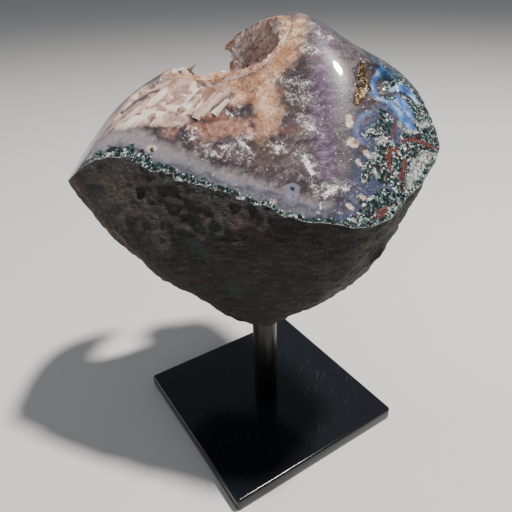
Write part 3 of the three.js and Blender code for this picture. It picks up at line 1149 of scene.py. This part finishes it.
def on_skin(points, deepest=6):
    """Points no deeper than deepest below the stone's skin, lifted onto it."""
    directions, distance = from_centre(points)
    skin = skin_reach(directions)
    lifted = STONE_CENTRE + directions * skin[:, None]
    return np.where((skin - distance < deepest)[:, None], lifted, points)


def kind_of_surface(points):
    """Which skin each point of the stone's surface belongs to."""
    directions, distance = from_centre(points)
    kinds = np.full(len(points), RIND)
    kinds[distance > dome_reach(directions) - DOME_INSET - POLISH_MARGIN] = POLISHED
    kinds[inside_hollow(points, WALL_DEPTH - WALL_MARGIN)] = BROKEN
    kinds[in_breaks(points, BREAK_MARGIN)] = BROKEN
    for bite in BROKEN_BITES:
        kinds[in_bite(points, bite) & (kinds != POLISHED)] = BROKEN
    kinds[in_bite(points, POCKET_BITE)] = POLISHED
    return kinds


def crease_between_skins(mesh, kinds):
    """Smooth faces, with a hard line wherever one skin meets another."""
    mesh.polygons.foreach_set("use_smooth", np.ones(len(mesh.polygons), dtype=bool))
    edges = np.empty(len(mesh.loops), dtype=np.int64)
    mesh.loops.foreach_get("edge_index", edges)
    sizes = np.empty(len(mesh.polygons), dtype=np.int64)
    mesh.polygons.foreach_get("loop_total", sizes)
    kind_at_loop = np.repeat(kinds, sizes)
    low = np.full(len(mesh.edges), 99)
    high = np.full(len(mesh.edges), -1)
    np.minimum.at(low, edges, kind_at_loop)
    np.maximum.at(high, edges, kind_at_loop)
    sharp = mesh.attributes.new("sharp_edge", "BOOLEAN", "EDGE")
    sharp.data.foreach_set("value", low != high)


def carry(mesh, name, values):
    made = mesh.attributes.new(name, "FLOAT", "POINT")
    made.data.foreach_set("value", np.asarray(values, dtype=np.float32))


def rim_line(mesh):
    """The middles of the hard edges where the rind meets the polished face."""
    edges = np.empty(len(mesh.edges) * 2, dtype=np.int64)
    mesh.edges.foreach_get("vertices", edges)
    ends = edges.reshape(-1, 2)
    sharp = np.empty(len(mesh.edges), dtype=bool)
    mesh.attributes["sharp_edge"].data.foreach_get("value", sharp)
    middles = points_of(mesh)[ends].mean(axis=1)[sharp]
    directions, distance = from_centre(middles)
    gap = np.abs(rind_reach(directions) - dome_reach(directions))
    return middles[gap < 4.5]


def distance_to(points, targets):
    """Distance from each point to the nearest target."""
    tree = KDTree(len(targets))
    for number, target in enumerate(targets):
        tree.insert(target, number)
    tree.balance()
    return np.array([tree.find(point)[2] for point in points])


def carry_zones(mesh):
    """Carries how far each point is inside every zone, and how wide the rim is there."""
    points = points_of(mesh)
    outer = on_skin(points)
    for name, strokes in STONE_ZONES.items():
        carry(mesh, name, zone(outer, strokes))
    along = points[:, 0]
    right_end = np.clip(along - ROCK_END, -ZONE_LIMIT, ZONE_LIMIT)
    carry(mesh, "matrix", np.maximum(zone(outer, MATRIX), right_end))
    carry(mesh, "left_end", np.clip((BROWN_LEFT - along) / BROWN_OVER, 0, 1))
    carry(mesh, "rim_distance", distance_to(points, rim_line(mesh)))
    wider = np.clip((WIDE_LEFT - along) / WIDE_OVER, 0, 1)
    tapering = np.clip((along - LEFT_TIP) / TIP_OVER, 0.2, 1)
    narrower = np.clip((along - NARROW_RIGHT) / NARROW_OVER, 0, 2)
    carry(mesh, "rim_width", 2.0 + 3.5 * wider * tapering)
    carry(mesh, "agate_width", 9 + 5 * wider - 4 * narrower)


def make_stone():
    body = ball("geode_body", STONE_FINENESS, grainy_rind_points)
    dome = ball("dome", STONE_FINENESS, lambda d: dome_points(d, DOME_INSET))
    carve(body, dome, "INTERSECT")
    carve(body, ball("hollow", HOLLOW_FINENESS, lambda d: hollow_points(d, WALL_DEPTH)))
    for centre, radius in BREAKS:
        carve(body, break_tool(centre, radius))
    for bite in BITES:
        carve(body, bite_tool(bite))
    carve(body, post_hole_tool())
    mesh = body.data
    mesh.materials.clear()
    for material in (polished_face(), rough_rind(), broken_quartz()):
        mesh.materials.append(material)
    kinds = kind_of_surface(face_middles(mesh))
    mesh.polygons.foreach_set("material_index", kinds)
    crease_between_skins(mesh, kinds)
    carry_zones(mesh)
    settle(body)
    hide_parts("geode_stone")
    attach(body, "root")


# Crystals

def spread(count):
    """Directions spread evenly all round."""
    number = np.arange(count)
    height = 1 - (2 * (number + 0.5)) / count
    across = np.sqrt(1 - height * height)
    angle = number * math.pi * (3 - math.sqrt(5))
    return np.stack([np.cos(angle) * across, np.sin(angle) * across, height], axis=1)


def grow_crystals(roots, ways, radii, lengths, seed):
    """Six-sided crystals with points, as one list of corners and faces."""
    dice = np.random.default_rng(seed)
    points, faces, tones = [], [], []
    for root, way, radius, length in zip(roots, ways, radii, lengths):
        helper = np.array([0, 0, 1.0]) if abs(way[2]) < 0.8 else np.array([1.0, 0, 0])
        side = np.cross(way, helper)
        side /= np.linalg.norm(side)
        other = np.cross(way, side)
        spin = dice.uniform(0, math.pi)
        start = len(points)
        shoulder = max(length - radius * TIP_HEIGHT, 0.15 * length)
        for level, size in ((-ROOT_DEPTH, 1.0), (shoulder, SHOULDER_SIZE)):
            for corner in range(CRYSTAL_SIDES):
                angle = spin + corner * 2 * math.pi / CRYSTAL_SIDES
                rise = dice.uniform(-UNEVENNESS, UNEVENNESS) * radius if level > 0 else 0
                out = side * math.cos(angle) + other * math.sin(angle)
                points.append(root + way * (level + rise) + out * radius * size)
        lean = (side * dice.uniform(-1, 1) + other * dice.uniform(-1, 1)) * radius * LEAN
        points.append(root + way * length + lean)
        tones += [dice.uniform(0, 1)] * (2 * CRYSTAL_SIDES + 1)
        faces.append([start + n for n in reversed(range(CRYSTAL_SIDES))])
        above, tip = start + CRYSTAL_SIDES, start + 2 * CRYSTAL_SIDES
        for n in range(CRYSTAL_SIDES):
            m = (n + 1) % CRYSTAL_SIDES
            faces.append([start + n, start + m, above + m, above + n])
            faces.append([above + n, above + m, tip])
    return np.array(points), faces, tones


def hollow_lining():
    """The thin grainy layer that the crystals of the hollow stand on."""
    def bumpy(directions):
        points = hollow_points(directions, LINING_DEPTH)
        swell = 0.5 * lumps(points, 3.5) + 0.25 * lumps(points, 1.6)
        return points - directions @ HOLLOW_TURN.T * swell[:, None]

    fine = HOLLOW_FINENESS
    layer = ball("hollow_crystals", fine, lambda d: hollow_points(d, WALL_DEPTH - GAP))
    carve(layer, ball("inner", fine, bumpy))
    carve(layer, ball("outer_rind", fine, lambda d: rind_points(d, RIND_INSET)), "INTERSECT")
    carve(layer, ball("outer_dome", fine, lambda d: dome_points(d, DOME_INSET)), "INTERSECT")
    for centre, radius in BREAKS:
        carve(layer, break_tool(centre, radius, 0.4))
    return layer


def cut_back(points):
    """The points, with those nearer to the stone's skin than DOME_INSET moved in."""
    directions, distance = from_centre(points)
    skin = skin_reach(directions) - DOME_INSET
    return STONE_CENTRE + directions * np.minimum(distance, skin)[:, None]


def hollow_points_and_faces():
    """Crystals all over the hollow's wall, larger in some parts, with whole tips only."""
    directions = spread(HOLLOW_PLACES)
    roots = hollow_points(directions, LINING_DEPTH)
    dice = np.random.default_rng(7)
    big = lumps(roots, 17) * 0.5 + 0.5
    radii = (1.6 + 3.4 * big) * dice.uniform(0.6, 1.25, len(roots))
    lengths = radii * dice.uniform(1.1, 1.9, len(roots))
    inward = unit(-(directions @ HOLLOW_TURN.T) + dice.uniform(-0.42, 0.42, (len(roots), 3)))
    ends = roots + inward * lengths[:, None]
    whole = (depth_in_stone(roots) > 1.2) & ~in_breaks(roots, 2.5)
    whole &= (depth_in_stone(ends) > 0.8) & ~in_breaks(ends, 1.0)
    kept = whole & (dice.uniform(0, 1, len(roots)) < np.clip(7.5 / radii ** 2, 0.22, 1))
    points, faces, tones = grow_crystals(
        roots[kept], inward[kept], radii[kept], lengths[kept], 11)
    return cut_back(points), faces, tones


def make_hollow_crystals():
    """The crystals of the hollow and the layer they stand on, as one crust."""
    layer = hollow_lining()
    points, faces, tones = hollow_points_and_faces()
    base = points_of(layer.data)
    base_faces = [list(face.vertices) for face in layer.data.polygons]
    bpy.data.objects.remove(layer)
    everything = np.concatenate([base, points])
    shifted = [[corner + len(base) for corner in face] for face in faces]
    druse = object_from(
        "hollow_crystals", everything, base_faces + shifted, [pink_crystal(), peach_edge()])
    at_skin = depth_in_stone(face_middles(druse.data)) < 1.0
    druse.data.polygons.foreach_set("material_index", at_skin.astype(np.int32))
    carry(druse.data, "crystal_tone", [0.35] * len(base) + tones)
    settle(druse)
    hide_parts("crystal_crust")
    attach(druse, "root")


def make_clear_crystals():
    """Pale pink crystals that lie slanting in the clear end, their sides laid bare."""
    middles = on_stone([crystal[:2] for crystal in CLEAR_CRYSTALS])
    out, _ = from_centre(middles)
    radii = np.array([crystal[2] for crystal in CLEAR_CRYSTALS]) / PIXELS_PER_MM
    slant = np.array(CRYSTAL_SLANT)
    dice = np.random.default_rng(19)
    ways = slant - out * (out @ slant)[:, None] + out * 0.27
    ways = unit(ways + dice.uniform(-0.1, 0.1, ways.shape))
    radii *= dice.uniform(1.0, 1.4, len(radii))
    lengths = radii * dice.uniform(3.2, 4.0, len(radii))
    roots = middles - out * (radii * 0.97)[:, None] - ways * (lengths * 0.6)[:, None]
    points, faces, tones = grow_crystals(roots, ways, radii, lengths, 23)
    crystals = object_from("clear_crystals", points, faces, [clear_pink()])
    carry(crystals.data, "crystal_tone", tones)
    settle(crystals)
    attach(crystals, "root")


def make_pocket_crystals():
    """Small golden crystals in the open pocket at the right."""
    directions = spread(POCKET_PLACES)
    roots = bite_points(POCKET_BITE, directions)
    ways_out, distance = from_centre(roots)
    inside = distance < dome_reach(ways_out) - 0.5
    shape = zone(on_skin(roots), GOLD_POCKET)
    kept = inside & (shape + 0.5 * lumps(roots, 3) > 0.0)
    dice = np.random.default_rng(3)
    count = int(kept.sum())
    radii = dice.uniform(0.45, 1.1, count)
    ways = unit(dice.uniform(-0.6, 0.6, (count, 3)) - directions[kept])
    lengths = radii * dice.uniform(0.9, 1.5, count)
    points, faces, tones = grow_crystals(roots[kept], ways, radii, lengths, 5)
    druse = object_from("pocket_crystals", points, faces, [pocket_crystal()])
    carry(druse.data, "crystal_tone", tones)
    carry(druse.data, "pocket_shade", zone(on_skin(points), POCKET_SHADE))
    settle(druse)
    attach(druse, "root")


# Stand

def make_plate():
    """The plate, with rounded corners and softly rounded edges all round."""
    half, bend, steps = PLATE_SIDE / 2, PLATE_CORNER_RADIUS, 8
    outline = []
    for corner in range(4):
        centre_angle = math.pi / 2 * corner
        x = (half - bend) * (1 if corner in (0, 3) else -1)
        y = (half - bend) * (1 if corner in (0, 1) else -1)
        for step in range(steps + 1):
            angle = centre_angle + math.pi / 2 * step / steps
            outline.append((
                (x + bend * math.cos(angle)) * MM, (y + bend * math.sin(angle)) * MM))
    plate = upright("plate", outline, 0, PLATE_THICKNESS * MM, [gloss_black()])
    round_edges(plate, PLATE_EDGE_RADIUS * MM)
    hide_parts("stand_plate")
    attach(plate, "root")


def round_edges(body, width):
    """Rounds the edges where a body's flat ends meet its walls."""
    shape = bmesh.new()
    shape.from_mesh(body.data)
    rims = [edge for edge in shape.edges if edge.calc_face_angle() > math.radians(80)]
    bmesh.ops.bevel(
        shape, geom=rims, offset=width, segments=5, profile=0.5, affect="EDGES")
    shape.to_mesh(body.data)
    shape.free()
    body.data.polygons.foreach_set(
        "use_smooth", np.ones(len(body.data.polygons), dtype=bool))
    body.data.set_sharp_from_angle(angle=math.radians(50))


def make_post():
    post = round_bar(
        "post", POST_SIDES, POST_DIAMETER / 2 * MM, PLATE_THICKNESS * MM, POST_TOP * MM,
        [satin_black()])
    round_edges(post, POST_EDGE_RADIUS * MM)
    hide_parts("stand_post")
    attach(post, "root")


# Stage

def make_floor():
    square = ((-1, -1), (1, -1), (1, 1), (-1, 1))
    corners = [(x * FLOOR_REACH, y * FLOOR_REACH, 0) for x, y in square]
    object_from("floor", corners, [(0, 1, 2, 3)], [pale_floor()])


def make_light(name, towards_light, away, size, power, colour):
    """A round soft light that looks at the stone's middle."""
    target = turned(Vector(STONE_CENTRE)) * MM
    way = turned(Vector(towards_light).normalized())
    lamp = bpy.data.lights.new(name, "AREA")
    lamp.shape = "DISK"
    lamp.size = size
    lamp.energy = power
    lamp.color = colour
    holder = bpy.data.objects.new(name, lamp)
    holder.location = target + way * away
    holder.rotation_euler = (-way).to_track_quat("-Z", "Y").to_euler()
    bpy.context.scene.collection.objects.link(holder)


def make_lights():
    for light in LIGHTS:
        make_light(*light)
    world = bpy.data.worlds.new("soft_room")
    world.use_nodes = True
    background = world.node_tree.nodes["Background"]
    background.inputs["Color"].default_value = ROOM_COLOUR
    background.inputs["Strength"].default_value = ROOM_STRENGTH
    bpy.context.scene.world = world


def make_camera():
    right, up, forward = (turned(Vector(axis)) for axis in camera_axes())
    camera = bpy.data.cameras.new("photo_camera")
    camera.sensor_width = SENSOR_WIDTH
    camera.lens = SENSOR_WIDTH * FOCAL_PIXELS / PHOTO_PIXELS
    camera.clip_start = 0.01
    holder = bpy.data.objects.new("photo_camera", camera)
    basis = Matrix((right, up, -forward)).transposed().to_4x4()
    basis.translation = turned(CAMERA_PLACE) * MM
    holder.matrix_world = basis
    bpy.context.scene.collection.objects.link(holder)
    bpy.context.scene.camera = holder


make_camera()
make_lights()
make_floor()
make_plate()
make_post()
make_stone()
make_hollow_crystals()
make_pocket_crystals()
make_clear_crystals()
